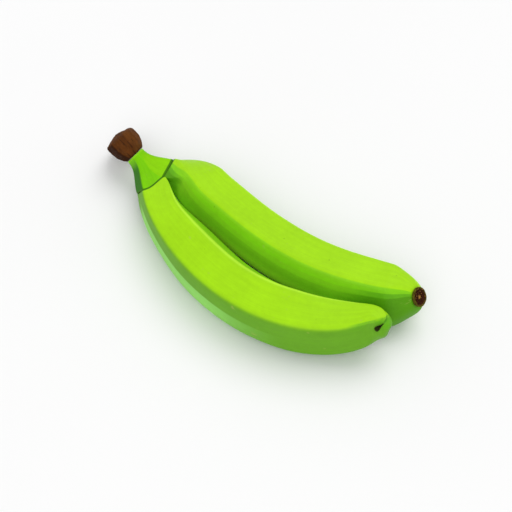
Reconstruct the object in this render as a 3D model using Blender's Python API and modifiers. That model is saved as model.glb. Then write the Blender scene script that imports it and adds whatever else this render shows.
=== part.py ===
"""A bunch of two green bananas that grew from one crown, lying on its side.

Units are metres, with +Z up. The table is the plane Z = 0, and the origin is on it, under the
middle of the bunch. +X runs along the bunch, from the dried stem to the tips, and +Y is the
inside of the curve, so the front banana lies at -Y with its rounded back turned outwards.

Six pieces: the green crown with its two short stalks, its dried brown end, the two bananas, and
the dried blossom mark that each banana keeps on its tip.
"""

import math
from dataclasses import dataclass

import bmesh
import bpy
import numpy as np
from mathutils import Matrix, Vector

GAP = 0.0003  # clearance between pieces that touch
FINGER_GAP = 0.0006  # the narrowest space left between the two bananas
PRESS_DEPTH = 0.0012  # how much of the lowest ridge is flattened against the table

FACETS = 5  # a banana is five-sided, with rounded ridges
RIDGE_SHARPNESS = 9.0  # 2 gives a round section, larger values give crisper ridges
SECTION_POINTS = 30
LINE_STEPS = 32  # rings along a banana
FINE_STEPS = 240  # steps used to add up the centre line

NECK_HEADING = math.radians(-20)  # the neck's direction, seen from above
NECK_PITCH = math.radians(-1)  # it slopes down a little from the dried end to the bananas
NECK_RADIUS = 0.0059  # where the neck meets the dried end
# The neck widens into the web between its stalks: each pair is a place along it, as a share of
# the shorter stalk, and a width compared with NECK_RADIUS.
NECK_RINGS = ((-0.4, 1.0), (0.0, 1.0), (0.3, 1.08), (0.6, 1.16), (0.9, 1.16), (1.2, 1.0))
STALK_CLEARANCE = 0.0010  # between the two stalks at their seams
STALK_THINNESS = 0.86  # a stalk starts this much thinner than the neck, so inside it
STALK_STEPS = 12
STALK_END_RINGS = 5  # rings of the stalk past the seam's centre, which the seam's cut removes

STUB_LENGTH = 0.0200
STUB_WAIST_RADIUS = 0.0063
STUB_END_RADIUS = 0.0106
STUB_RIM = 0.0015  # how far the rim of the old cut is rounded off
STUB_SIDES = 24
STUB_RINGS = 8
CUT_SLANT = math.radians(32)  # the old cut and the joint lean back over the neck
CUT_TURN = math.radians(19)  # and are turned a little sideways

SCAR_SIDES = 20
SCAR_RIM = 0.0009  # rim round the blossom mark's hollow


@dataclass(frozen=True)
class Finger:
    """One banana. Headings are angles seen from above and pitches are angles above the table."""

    name: str
    side: int  # -1 is the front of the bunch, +1 the back
    length: float  # along the centre line, from the seam to the tip
    radius: float  # to a flat side, at the thickest stretch
    base_radius: float  # at the seam
    tip_radius: float  # of the blossom mark's seat
    stalk_length: float  # from the dried end to the seam, along the neck
    seam_slant: float  # the seam's top lies further along the banana than its bottom
    roll: float  # turn of the five-sided section about the centre line
    bend: float  # how far the banana's heading turns from end to end
    bend_focus: float  # 0 spreads the bend evenly, 1 gathers it at mid-length
    base_turn: float  # extra heading at the seam, gone a fifth of the way along
    tip_turn: float  # extra heading at the tip
    tip_turn_start: float  # share of the length where the tip starts to turn
    tip_pitch: float  # how steeply the tip rises
    tip_pitch_start: float  # share of the length where the tip starts to rise
    shoulder_share: float  # share of the length in which it swells to its full radius
    shoulder_power: float
    nose_start: float  # share of the length where the nose starts
    nose_power: float  # larger values keep the nose thick for longer
    nose_bluntness: float  # 1 ends in a cone, 2 in a dome
    scar_depth: float  # thickness of the dried blossom mark


FRONT = Finger(
    name="front",
    side=-1,
    length=0.1960,
    radius=0.0163,
    base_radius=0.0078,
    tip_radius=0.0028,
    stalk_length=0.0316,
    seam_slant=math.radians(36),
    roll=math.radians(0.5),
    bend=math.radians(55),
    bend_focus=0.8,
    base_turn=math.radians(-13),
    tip_turn=math.radians(-68),
    tip_turn_start=0.91,
    tip_pitch=math.radians(45),
    tip_pitch_start=0.72,
    shoulder_share=0.42,
    shoulder_power=2.1,
    nose_start=0.69,
    nose_power=1.5,
    nose_bluntness=2.4,
    scar_depth=0.0010,
)
BACK = Finger(
    name="back",
    side=1,
    length=0.1875,
    radius=0.0158,
    base_radius=0.0078,
    tip_radius=0.0059,
    stalk_length=0.0250,
    seam_slant=math.radians(16),
    roll=math.radians(17.5),
    bend=math.radians(30.5),
    bend_focus=0.95,
    base_turn=math.radians(34),
    tip_turn=math.radians(-14),
    tip_turn_start=0.91,
    tip_pitch=math.radians(36),
    tip_pitch_start=0.84,
    shoulder_share=0.17,
    shoulder_power=1.25,
    nose_start=0.90,
    nose_power=1.6,
    nose_bluntness=1.4,
    scar_depth=0.0016,
)
FRONT_HEADING = math.radians(-26)  # the front banana's direction as it leaves the crown
BEND_LATENESS = 1.4  # over 1, a banana bends more towards its tip
BASE_TURN_END = 0.2
BASE_PITCH_END = 0.3
SPREAD_RANGE = (math.radians(-20), math.radians(60))  # the back banana's heading over the front's

SKIN_GREEN = (0.36, 0.76, 0.02)
CROWN_GREEN = (0.20, 0.60, 0.02)
DRIED_BROWN = (0.11, 0.038, 0.014)
SCAR_BROWN = (0.035, 0.012, 0.006)


# ---- Section and centre line -------------------------------------------------------------------


def section_radius(angle, roll):
    """Distance from the centre to the rounded five-sided outline, for a flat-side radius of 1.

    Each flat side alone would give 1 / cos(angle from its middle), and a power mean of the five
    rounds the ridge where two of them meet.
    """
    middles = roll + np.arange(FACETS) * 2 * math.pi / FACETS
    nearness = np.maximum(0.0, np.cos(np.subtract.outer(angle, middles)))
    return (nearness**RIDGE_SHARPNESS).sum(axis=-1) ** (-1 / RIDGE_SHARPNESS)


def section_reach(direction, roll):
    """How far the outline reaches in one direction, for a flat-side radius of 1."""
    angle = np.linspace(0, 2 * math.pi, 361)
    return float((section_radius(angle, roll) * np.cos(angle - direction)).max())


def ease_in(share, start):
    return np.clip((share - start) / (1 - start), 0, 1) ** 2


def ease_out(share, end):
    return np.clip(1 - share / end, 0, 1) ** 2


def finger_radius(finger, share):
    """Radius along the banana: a quick swell from the seam, a long even stretch, then the nose."""
    before = np.clip(1 - share / finger.shoulder_share, 0, 1)
    shoulder = (finger.radius - finger.base_radius) * before**finger.shoulder_power
    into_nose = np.clip((share - finger.nose_start) / (1 - finger.nose_start), 0, 1)
    kept = (1 - into_nose**finger.nose_power) ** (1 / finger.nose_bluntness)
    return finger.radius - shoulder - (finger.radius - finger.tip_radius) * (1 - kept)


def finger_line(finger, heading):
    """Points, directions and radii along a banana whose seam's centre is at X = Y = 0.

    The direction at each share of the length comes from its heading and pitch, and the points
    are their running sum. The height is set so that the thickest stretch presses on the table.
    """
    share = np.linspace(0, 1, FINE_STEPS + 1)
    late = share**BEND_LATENESS
    bent = late - finger.bend_focus * np.sin(2 * math.pi * late) / (2 * math.pi)
    turn = heading + finger.bend * bent + finger.base_turn * ease_out(share, BASE_TURN_END)
    turn = turn + finger.tip_turn * ease_in(share, finger.tip_turn_start)
    pitch = finger.tip_pitch * ease_in(share, finger.tip_pitch_start)
    pitch = pitch + NECK_PITCH * ease_out(share, BASE_PITCH_END)
    level = np.cos(pitch)
    direction = np.stack([level * np.cos(turn), level * np.sin(turn), np.sin(pitch)], axis=1)
    middles = (direction[1:] + direction[:-1]) / 2
    step = finger.length / FINE_STEPS
    point = np.concatenate([np.zeros((1, 3)), np.cumsum(middles, axis=0) * step])
    rest_height = finger.radius * section_reach(-math.pi / 2, finger.roll) - PRESS_DEPTH
    point[:, 2] += rest_height - point[FINE_STEPS // 2, 2]
    return point, direction, finger_radius(finger, share)


def thinned(line):
    """The rings that are kept from a fine line: they crowd towards both ends."""
    even = np.linspace(0, 1, LINE_STEPS + 1)
    crowded = (1 - np.cos(math.pi * even)) / 2
    kept = np.round((0.45 * even + 0.55 * crowded) * FINE_STEPS).astype(int)
    return tuple(values[kept] for values in line)


def neck_axis():
    return np.array([math.cos(NECK_HEADING), math.sin(NECK_HEADING)])


def seam_place(finger):
    """X and Y of a seam's centre, with the dried end of the neck at the origin.

    The stalks lie side by side at their seams, with a small clearance between their ridges.
    """
    along = neck_axis()
    across = np.array([-along[1], along[0]])
    reach = finger.base_radius * section_reach(-finger.side * math.pi / 2, 0.0)
    offset = finger.side * (reach + STALK_CLEARANCE / 2)
    return along * finger.stalk_length + across * offset


def placed_line(finger, heading):
    point, direction, radius = finger_line(finger, heading)
    point[:, :2] += seam_place(finger)
    return point, direction, radius


def closest_approach(front_line, back_line):
    """The narrowest space between the two bananas, from their centre lines and their reach."""
    front_reach = front_line[2] * section_reach(math.pi, FRONT.roll)
    back_reach = back_line[2] * section_reach(0.0, BACK.roll)
    apart = np.linalg.norm(front_line[0][:, None, :2] - back_line[0][None, :, :2], axis=2)
    return float((apart - front_reach[:, None] - back_reach[None, :]).min())


def back_heading():
    """The heading at which the back banana lies FINGER_GAP from the front one, by bisection."""
    front_line = placed_line(FRONT, FRONT_HEADING)
    low, high = SPREAD_RANGE
    for _ in range(30):
        middle = (low + high) / 2
        back_line = placed_line(BACK, FRONT_HEADING + middle)
        if closest_approach(front_line, back_line) < FINGER_GAP:
            low = middle
        else:
            high = middle
    return FRONT_HEADING + high


def joint_of(lines):
    """Where the green neck meets its dried end: above the origin, uphill from the two seams."""
    seam_height = sum(line[0][0, 2] for line in lines) / len(lines)
    stalk_length = (FRONT.stalk_length + BACK.stalk_length) / 2
    return Vector((0, 0, seam_height - stalk_length * math.tan(NECK_PITCH)))


def neck_direction():
    along = neck_axis() * math.cos(NECK_PITCH)
    return Vector((along[0], along[1], math.sin(NECK_PITCH)))


def stalk_line(finger, line, joint):
    """A stalk from inside the neck to its seam, as a cubic curve that leaves along the neck and
    arrives along the banana. It starts where its end is clear of the slanted joint."""
    end = Vector(line[0][0])
    reach = (end - joint).length
    first, last = neck_direction() * reach, Vector(line[1][0]) * reach
    thin = STALK_THINNESS * NECK_RADIUS
    lean = math.acos(math.cos(CUT_SLANT) * math.cos(CUT_TURN))
    clear = thin * section_reach(math.pi / 2, 0.0) * math.tan(lean) + GAP
    start = joint + neck_direction() * clear
    points, radii = [], []
    for step in range(STALK_STEPS):
        t = step / STALK_STEPS
        point = start * (2 * t**3 - 3 * t**2 + 1) + first * (t**3 - 2 * t**2 + t)
        point += end * (3 * t**2 - 2 * t**3) + last * (t**3 - t**2)
        points.append(point)
        radii.append(thin + (finger.base_radius - thin) * t)
    return np.array(points), np.array(radii)


# ---- Blender helpers ---------------------------------------------------------------------------


def clear_scene():
    for obj in list(bpy.data.objects):
        bpy.data.objects.remove(obj, do_unlink=True)


def new_collection(name):
    collection = bpy.data.collections.new(name)
    bpy.context.scene.collection.children.link(collection)
    return collection


def plain_material(name, colour, roughness):
    material = bpy.data.materials.new(name)
    material.use_nodes = True
    shader = material.node_tree.nodes["Principled BSDF"]
    shader.inputs["Base Color"].default_value = (*colour, 1)
    shader.inputs["Roughness"].default_value = roughness
    shader.inputs["Metallic"].default_value = 0.0
    material.diffuse_color = (*colour, 1)
    return material


def add_object(name, data, collection, parent, material=None):
    obj = bpy.data.objects.new(name, data)
    collection.objects.link(obj)
    obj.parent = parent
    if material:
        data.materials.append(material)
    return obj


def section_guide(guides):
    """The rounded five-sided outline of radius 1 that every tube is swept with."""
    curve = bpy.data.curves.new("banana_section", "CURVE")
    curve.dimensions = "2D"
    spline = curve.splines.new("POLY")
    spline.points.add(SECTION_POINTS - 1)
    spline.use_cyclic_u = True
    angles = np.arange(SECTION_POINTS) * 2 * math.pi / SECTION_POINTS
    outline = section_radius(angles, 0.0)
    for point, angle, radius in zip(spline.points, angles, outline):
        point.co = (radius * math.cos(angle), radius * math.sin(angle), 0, 1)
    guide = bpy.data.objects.new("banana_section", curve)
    guides.objects.link(guide)
    guide.hide_render = True
    return guide


def swept_mesh(name, points, radii, roll, guide):
    """The section swept along a line as a closed mesh, through a curve with filled ends."""
    curve = bpy.data.curves.new(name, "CURVE")
    curve.dimensions = "3D"
    curve.twist_mode = "Z_UP"
    curve.bevel_mode = "OBJECT"
    curve.bevel_object = guide
    curve.use_fill_caps = True
    spline = curve.splines.new("POLY")
    spline.points.add(len(points) - 1)
    for knot, point, radius in zip(spline.points, points, radii):
        knot.co = (*point, 1)
        knot.radius = radius
        knot.tilt = -roll
    swept = bpy.data.objects.new(name, curve)
    bpy.context.scene.collection.objects.link(swept)
    graph = bpy.context.evaluated_depsgraph_get()
    mesh = bpy.data.meshes.new_from_object(swept.evaluated_get(graph))
    bpy.data.objects.remove(swept, do_unlink=True)
    weld = bmesh.new()
    weld.from_mesh(mesh)
    bmesh.ops.remove_doubles(weld, verts=weld.verts, dist=0.00002)
    bmesh.ops.recalc_face_normals(weld, faces=weld.faces)
    weld.to_mesh(mesh)
    weld.free()
    mesh.shade_smooth()
    mesh.set_sharp_from_angle(angle=math.radians(40))
    return mesh


def box_cutter(name, low, high, frame, cutters, parent):
    """A box between two corners of its own frame, kept out of the render."""
    shape = bmesh.new()
    bmesh.ops.create_cube(shape, size=1.0)
    size, middle = Vector(high) - Vector(low), (Vector(high) + Vector(low)) / 2
    bmesh.ops.transform(shape, matrix=Matrix.Diagonal((*size, 1)), verts=shape.verts)
    bmesh.ops.translate(shape, vec=middle, verts=shape.verts)
    mesh = bpy.data.meshes.new(name)
    shape.to_mesh(mesh)
    shape.free()
    cutter = add_object(name, mesh, cutters, parent)
    cutter.matrix_local = frame
    cutter.hide_render = True
    cutter.display_type = "WIRE"
    return cutter


def boolean(obj, other, operation):
    modifier = obj.modifiers.new(f"{operation.lower()} {other.name}", "BOOLEAN")
    modifier.operation = operation
    modifier.object = other
    modifier.solver = "EXACT"


def facing(place, direction):
    """A frame at a place whose own Z runs along a direction."""
    turn = Vector(direction).to_track_quat("Z", "Y").to_matrix().to_4x4()
    return Matrix.Translation(place) @ turn


def turned(name, profile, sides, frame, collection, parent, material):
    """A profile of (radius, height) pairs, from the top of the axis to its bottom, turned
    about its own Z."""
    mesh = bpy.data.meshes.new(name)
    corners = [(radius, 0.0, height) for radius, height in profile]
    edges = [(i, i + 1) for i in range(len(corners) - 1)]
    mesh.from_pydata(corners, edges, [])
    obj = add_object(name, mesh, collection, parent, material)
    obj.matrix_local = frame
    screw = obj.modifiers.new("turn", "SCREW")
    screw.steps = sides
    screw.render_steps = sides
    screw.use_merge_vertices = True
    screw.merge_threshold = 0.00001
    screw.use_smooth_shade = True
    return obj


# ---- The pieces --------------------------------------------------------------------------------


def seam_frame(finger, line):
    """The seam's plane: its own Z leads into the banana and is slanted towards the table."""
    ahead = Vector(line[1][0])
    sideways = Vector((ahead.y, -ahead.x, 0)).normalized()
    slanted = Matrix.Rotation(-finger.seam_slant, 3, sideways) @ ahead
    return facing(Vector(line[0][0]), slanted)


def banana(finger, line, stalk, guide, table, parts, cutters, root, skin):
    """One banana, from its slanted seam to its tip, flattened where it presses on the table."""
    point, _, radius = thinned(line)
    half = STALK_STEPS // 2
    points = np.concatenate([stalk[0][half:], point])
    radii = np.concatenate([stalk[1][half:], radius])
    mesh = swept_mesh(f"{finger.name}_banana", points, radii, finger.roll, guide)
    obj = add_object(f"{finger.name}_banana", mesh, parts, root, skin)
    reach = finger.stalk_length
    low, high = (-reach, -reach, -reach), (reach, reach, GAP / 2)
    plane = seam_frame(finger, line)
    cutter = box_cutter(f"{finger.name}_crown_side", low, high, plane, cutters, root)
    boolean(obj, cutter, "DIFFERENCE")
    boolean(obj, table, "DIFFERENCE")
    return obj


def finger_side(finger, line, cutters, root):
    """A block on the banana's side of its seam, which ends the crown there."""
    reach = finger.stalk_length
    low, high = (-reach, -reach, -GAP / 2), (reach, reach, reach)
    plane = seam_frame(finger, line)
    return box_cutter(f"{finger.name}_finger_side", low, high, plane, cutters, root)


def stalk_piece(finger, line, stalk, guide, cutters, root):
    """One green stalk, which runs on a little past its seam. It is joined into the crown."""
    past_seam = FINE_STEPS * finger.radius / finger.length
    kept = np.linspace(0, past_seam, STALK_END_RINGS).astype(int)
    points = np.concatenate([stalk[0], line[0][kept]])
    radii = np.concatenate([stalk[1], line[2][kept]])
    mesh = swept_mesh(f"{finger.name}_stalk", points, radii, finger.roll, guide)
    obj = add_object(f"{finger.name}_stalk", mesh, cutters, root)
    obj.hide_render = True
    obj.display_type = "WIRE"
    return obj


def joint_frame(joint, forward):
    """A slanted plane across the neck, as the old cut and the joint both lie. Its own Z leads
    away from the bananas."""
    ahead = -neck_direction()
    sideways = Vector((ahead.y, -ahead.x, 0)).normalized()
    slanted = Matrix.Rotation(CUT_TURN, 3, "Z") @ Matrix.Rotation(CUT_SLANT, 3, sideways) @ ahead
    return facing(joint + ahead * forward, slanted)


def crown(lines, stalks, joint, guide, parts, cutters, root, material):
    """The green neck and its two stalks, joined into one piece. It ends at the slanted joint with
    the dried end and at the two seams."""
    ahead = neck_direction()
    length = min(FRONT.stalk_length, BACK.stalk_length)
    points = np.array([joint + ahead * length * share for share, _ in NECK_RINGS])
    radii = np.array([NECK_RADIUS * width for _, width in NECK_RINGS])
    mesh = swept_mesh("crown", points, radii, 0.0, guide)
    obj = add_object("crown", mesh, parts, root, material)
    low, high = (-length, -length, -GAP / 2), (length, length, length)
    stub_side = box_cutter("stub_side", low, high, joint_frame(joint, 0), cutters, root)
    boolean(obj, stub_side, "DIFFERENCE")
    for finger, line, stalk in zip((FRONT, BACK), lines, stalks):
        boolean(obj, stalk_piece(finger, line, stalk, guide, cutters, root), "UNION")
    for finger, line in zip((FRONT, BACK), lines):
        boolean(obj, finger_side(finger, line, cutters, root), "DIFFERENCE")
    return obj


def stub_radius(share):
    """The dried end flares quickly from its waist and then runs almost straight."""
    flare = STUB_END_RADIUS - STUB_WAIST_RADIUS
    return STUB_WAIST_RADIUS + flare * (1 - (1 - min(max(share, 0), 1)) ** 2.2)


def cut_stub(joint, parts, cutters, root, material):
    """The dried end of the neck, which flares from the slanted joint to the old slanted cut."""
    back = -neck_direction()
    over = STUB_END_RADIUS * math.tan(CUT_SLANT)
    rings = [step / STUB_RINGS for step in range(STUB_RINGS, -1, -1)]
    profile = [(0.0, STUB_LENGTH + over), (stub_radius(1), STUB_LENGTH + over)]
    profile += [(stub_radius(share), STUB_LENGTH * share) for share in rings]
    profile += [(STUB_WAIST_RADIUS, -over), (0.0, -over)]
    place = facing(joint, back)
    obj = turned("cut_stub", profile, STUB_SIDES, place, parts, root, material)
    reach = 2 * (STUB_LENGTH + over)
    neck_low, neck_high = (-reach, -reach, -reach), (reach, reach, GAP / 2)
    neck_side = box_cutter("neck_side", neck_low, neck_high, joint_frame(joint, 0), cutters, root)
    boolean(obj, neck_side, "DIFFERENCE")
    open_low, open_high = (-reach, -reach, 0), (reach, reach, reach)
    old_cut = joint_frame(joint, STUB_LENGTH)
    open_side = box_cutter("old_cut", open_low, open_high, old_cut, cutters, root)
    boolean(obj, open_side, "DIFFERENCE")
    rim = obj.modifiers.new("rounded rim", "BEVEL")
    rim.width = STUB_RIM
    rim.segments = 3
    rim.limit_method = "ANGLE"
    rim.angle_limit = math.radians(50)
    return obj


def blossom_scar(finger, line, parts, root, material):
    """The dried mark left by the blossom: a low disc with a hollow and a point at its centre."""
    rim, depth = finger.tip_radius, finger.scar_depth
    profile = [
        (0.0, depth * 0.7),
        (rim * 0.2, depth * 0.5),
        (rim * 0.65, depth * 0.4),
        (rim - SCAR_RIM, depth),
        (rim, depth * 0.7),
        (rim * 0.96, 0.0),
        (0.0, 0.0),
    ]
    points = thinned(line)[0]
    ahead = Vector(points[-1] - points[-2]).normalized()
    place = facing(Vector(points[-1]) + ahead * GAP, ahead)
    name = f"{finger.name}_blossom_scar"
    return turned(name, profile, SCAR_SIDES, place, parts, root, material)


def centre_on_origin(root, objects):
    """Moves the whole bunch so that the middle of its box is over the origin."""
    bpy.context.view_layer.update()
    graph = bpy.context.evaluated_depsgraph_get()
    lows, highs = [], []
    for obj in objects:
        solid = obj.evaluated_get(graph)
        mesh = solid.to_mesh()
        places = np.empty(len(mesh.vertices) * 3)
        mesh.vertices.foreach_get("co", places)
        turn = np.array(solid.matrix_world.to_3x3())
        places = places.reshape(-1, 3) @ turn.T + np.array(solid.matrix_world.translation)
        lows.append(places.min(axis=0))
        highs.append(places.max(axis=0))
        solid.to_mesh_clear()
    middle = (np.max(highs, axis=0) + np.min(lows, axis=0)) / 2
    root.location = (-middle[0], -middle[1], 0)
    bpy.context.view_layer.update()


def build():
    clear_scene()
    parts = new_collection("banana_bunch")
    cutters = new_collection("banana_bunch_cutters")
    cutters.hide_render = True
    root = add_object("banana_bunch", None, parts, None)
    guide = section_guide(cutters)

    skin = plain_material("green_skin", SKIN_GREEN, 0.45)
    green = plain_material("crown_skin", CROWN_GREEN, 0.5)
    dried = plain_material("dried_stem", DRIED_BROWN, 0.85)
    scar = plain_material("dried_blossom", SCAR_BROWN, 0.9)

    lines = [placed_line(FRONT, FRONT_HEADING), placed_line(BACK, back_heading())]
    joint = joint_of(lines)
    stalks = [stalk_line(finger, line, joint) for finger, line in zip((FRONT, BACK), lines)]

    span = FRONT.length + BACK.length
    below = (-span, -span, -FRONT.radius)
    table = box_cutter("table", below, (span, span, 0), Matrix(), cutters, root)

    pieces = [crown(lines, stalks, joint, guide, parts, cutters, root, green)]
    pieces.append(cut_stub(joint, parts, cutters, root, dried))
    for finger, line, stalk in zip((FRONT, BACK), lines, stalks):
        pieces.append(banana(finger, line, stalk, guide, table, parts, cutters, root, skin))
        pieces.append(blossom_scar(finger, line, parts, root, scar))
    centre_on_origin(root, pieces)


build()
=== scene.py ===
# %% [markdown]
# # A bunch of two green bananas
#
# Two unripe bananas lie on their side on a pale table. They grew from one crown, whose dried brown
# end was cut long ago, and each keeps a dried mark on its tip where its flower was. This lesson
# makes every visible surface as a function of two parameters, worked out with numpy as whole
# arrays, and then gives each one a procedural finish.
#
# The packed model is loaded first. It is the frame that everything here has to fit, and the boxes
# of its two bananas are read to place them.

# %% Load the frame
import math

import bpy
import numpy as np
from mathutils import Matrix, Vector


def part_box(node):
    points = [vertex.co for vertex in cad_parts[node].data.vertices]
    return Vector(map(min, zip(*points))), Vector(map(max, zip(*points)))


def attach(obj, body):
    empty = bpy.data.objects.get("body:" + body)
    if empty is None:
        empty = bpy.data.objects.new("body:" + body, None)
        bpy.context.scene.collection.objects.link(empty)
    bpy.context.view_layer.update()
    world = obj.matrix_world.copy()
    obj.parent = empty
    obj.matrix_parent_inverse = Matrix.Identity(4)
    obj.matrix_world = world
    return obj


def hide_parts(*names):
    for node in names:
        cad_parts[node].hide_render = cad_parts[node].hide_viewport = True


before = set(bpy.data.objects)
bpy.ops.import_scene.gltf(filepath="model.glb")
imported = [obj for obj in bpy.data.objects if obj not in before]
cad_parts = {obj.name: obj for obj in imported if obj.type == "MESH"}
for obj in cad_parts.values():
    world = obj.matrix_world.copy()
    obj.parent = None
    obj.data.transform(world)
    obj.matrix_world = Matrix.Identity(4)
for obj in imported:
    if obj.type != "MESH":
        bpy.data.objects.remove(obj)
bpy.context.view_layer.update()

# %% [markdown]
# ## What makes a banana's shape
#
# A banana is a bent tube with five rounded sides. Three rules give the whole surface: a centre
# line that says where each ring is, a radius that says how big it is, and an outline that says
# what it looks like. The table below holds each banana's sizes in metres and its angles in
# degrees, so one function can make both.

# %% The sizes of the two bananas
FRONT = dict(
    name="front", side=-1, length=0.1960, radius=0.0163, base_radius=0.0078, tip_radius=0.0028,
    stalk_length=0.0316, seam_slant=36, roll=0.5, bend=55, bend_focus=0.8, base_turn=-13,
    tip_turn=-68, tip_turn_start=0.91, tip_pitch=45, tip_pitch_start=0.72,
    shoulder_share=0.42, shoulder_power=2.1, nose_start=0.69, nose_power=1.5, nose_bluntness=2.4,
    base_twist=16, base_twist_end=0.3, nose_twist=22, tip_pull=(0.0046, -0.0009),
)
BACK = dict(
    name="back", side=1, length=0.1875, radius=0.0158, base_radius=0.0078, tip_radius=0.0059,
    stalk_length=0.0250, seam_slant=16, roll=17.5, bend=30.5, bend_focus=0.95, base_turn=34,
    tip_turn=-14, tip_turn_start=0.91, tip_pitch=36, tip_pitch_start=0.84,
    shoulder_share=0.17, shoulder_power=1.25, nose_start=0.90, nose_power=1.6, nose_bluntness=1.4,
    base_twist=55, base_twist_end=0.24, nose_twist=12, tip_pull=(0.0, 0.0),
)
print("banana lengths in mm:", FRONT["length"] * 1000, "and", BACK["length"] * 1000)

# %% Sizes that both bananas share
FACETS = 5  # flat sides round a banana
FRONT_HEADING = -26
NECK_HEADING, NECK_PITCH = -20, -1
BEND_LATENESS, BASE_TURN_END, BASE_PITCH_END = 1.4, 0.2, 0.3
FINGER_GAP = 0.0006
STALK_CLEARANCE = 0.0010
PRESS_DEPTH = 0.0012
SEAM_GAP = 0.0003
FINE_STEPS = 240
print("each seam is a gap of", SEAM_GAP * 1000, "mm")

# %% [markdown]
# Nothing on a fruit starts or stops suddenly. Three short curves ease every change: one grows from
# a starting place to the far end, one fades away from the near end, and one is a soft step.

# %% Easing curves


def ease_in(share, start):
    """((share - start) / (1 - start)) squared, from 0 at start to 1 at the end."""
    return np.clip((share - start) / (1 - start), 0, 1) ** 2


def ease_out(share, end):
    """(1 - share / end) squared, from 1 at the beginning to 0 at end."""
    return np.clip(1 - share / end, 0, 1) ** 2


def smooth_step(value, low, high):
    """3t^2 - 2t^3 with t running from 0 at low to 1 at high."""
    t = np.clip((value - low) / (high - low), 0, 1)
    return t * t * (3 - 2 * t)


print("a quarter of the way up, the soft step is at", smooth_step(0.25, 0, 1))

# %% [markdown]
# ## The outline of one ring
#
# One flat side at distance 1 is the curve 1 / cos(angle). Taking the nearest of five such sides
# gives a pentagon, and a power mean in place of the nearest one rounds its five ridges. The
# power is a dial: at 2 the ring is a circle, and at 20 the ridges are as crisp as on a green,
# angular banana.

# %% Ring outline
CRISPNESS = 14.0  # ridges: larger is sharper
FULLNESS = 0.982  # crisp ridges stand further out, so the whole ring is a little smaller
FRAME_CRISPNESS = 9.0  # the softer ridges of the frame's own solids


def ring_outline(angle, roll, crispness):
    """(sum over the five sides of max(0, cos(angle - roll - side))^p) ^ (-1 / p), with p the
    crispness. The roll may be one number or one for each angle."""
    angle = angle - roll
    sides = np.arange(FACETS) * 2 * math.pi / FACETS
    nearness = np.maximum(0.0, np.cos(np.subtract.outer(angle, sides)))
    power = np.asarray(crispness, float)
    return (nearness ** power[..., None]).sum(axis=-1) ** (-1 / power)


def outline_reach(direction, roll, crispness):
    """How far the outline reaches one way: the largest r(angle) * cos(angle - direction)."""
    angle = np.linspace(0, 2 * math.pi, 361)
    return float((ring_outline(angle, roll, crispness) * np.cos(angle - direction)).max())


ridge, flat = outline_reach(math.radians(36), 0, CRISPNESS), 1.0
print("a ridge stands", round((ridge / flat - 1) * 100, 1), "percent further out than a flat side")

# %% [markdown]
# ## The centre line
#
# A banana could be bent with a lattice or a curve object, but a running sum says more about how
# it grows: the tip has a direction, each step turns it a little, and the line is the sum of the
# steps. Its heading turns most at mid-length, then the nose turns and rises. The height follows
# from resting on the table.

# %% Radius along a banana


def radius_along(finger, share):
    """R - (R - base) * (1 - share / shoulder)^p for the shoulder, and for the nose
    R - (R - tip) * (1 - (1 - n^q)^(1 / bluntness)), with n from 0 to 1 along the nose."""
    before = np.clip(1 - share / finger["shoulder_share"], 0, 1)
    shoulder = (finger["radius"] - finger["base_radius"]) * before ** finger["shoulder_power"]
    nose = np.clip((share - finger["nose_start"]) / (1 - finger["nose_start"]), 0, 1)
    kept = (1 - nose ** finger["nose_power"]) ** (1 / finger["nose_bluntness"])
    return finger["radius"] - shoulder - (finger["radius"] - finger["tip_radius"]) * (1 - kept)


print("the back banana's radius at mid-length:", round(float(radius_along(BACK, 0.5)) * 1000, 1), "mm")

# %% Centre line


def centre_line(finger, heading):
    """Direction (cos h cos p, sin h cos p, sin p) with heading h and pitch p, summed step by step:
    h = start + bend * (t - focus * sin(2 pi t) / 2 pi) + turns at both ends, t = share^lateness."""
    share = np.linspace(0, 1, FINE_STEPS + 1)
    late = share**BEND_LATENESS
    bent = late - finger["bend_focus"] * np.sin(2 * math.pi * late) / (2 * math.pi)
    turn = heading + finger["bend"] * bent + finger["base_turn"] * ease_out(share, BASE_TURN_END)
    turn = np.radians(turn + finger["tip_turn"] * ease_in(share, finger["tip_turn_start"]))
    pitch = finger["tip_pitch"] * ease_in(share, finger["tip_pitch_start"])
    pitch = np.radians(pitch + NECK_PITCH * ease_out(share, BASE_PITCH_END))
    level = np.cos(pitch)
    direction = np.stack([level * np.cos(turn), level * np.sin(turn), np.sin(pitch)], axis=1)
    steps = (direction[1:] + direction[:-1]) / 2 * finger["length"] / FINE_STEPS
    point = np.concatenate([np.zeros((1, 3)), np.cumsum(steps, axis=0)])
    reach = outline_reach(-math.pi / 2, math.radians(finger["roll"]), FRAME_CRISPNESS)
    point[:, 2] += finger["radius"] * reach - PRESS_DEPTH - point[FINE_STEPS // 2, 2]
    point[:, :2] += seam_place(finger)
    return dict(share=share, point=point, direction=direction)


def seam_place(finger):
    """X and Y of a seam's centre: stalk_length along the neck and half the stalks' width across."""
    along = np.array([math.cos(math.radians(NECK_HEADING)), math.sin(math.radians(NECK_HEADING))])
    across = np.array([-along[1], along[0]])
    reach = finger["base_radius"] * outline_reach(-finger["side"] * math.pi / 2, 0, FRAME_CRISPNESS)
    return along * finger["stalk_length"] + across * finger["side"] * (reach + STALK_CLEARANCE / 2)


front_line = centre_line(FRONT, FRONT_HEADING)
print("the front banana's tip is", round(front_line["point"][-1, 2] * 1000, 1), "mm up")

# %% [markdown]
# The back banana leans against the front one. How far it turns isn't guessed: halving an interval
# thirty times finds the heading at which the two only just don't touch.

# %% Lean the back banana on the front one
HALVINGS = 30


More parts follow.
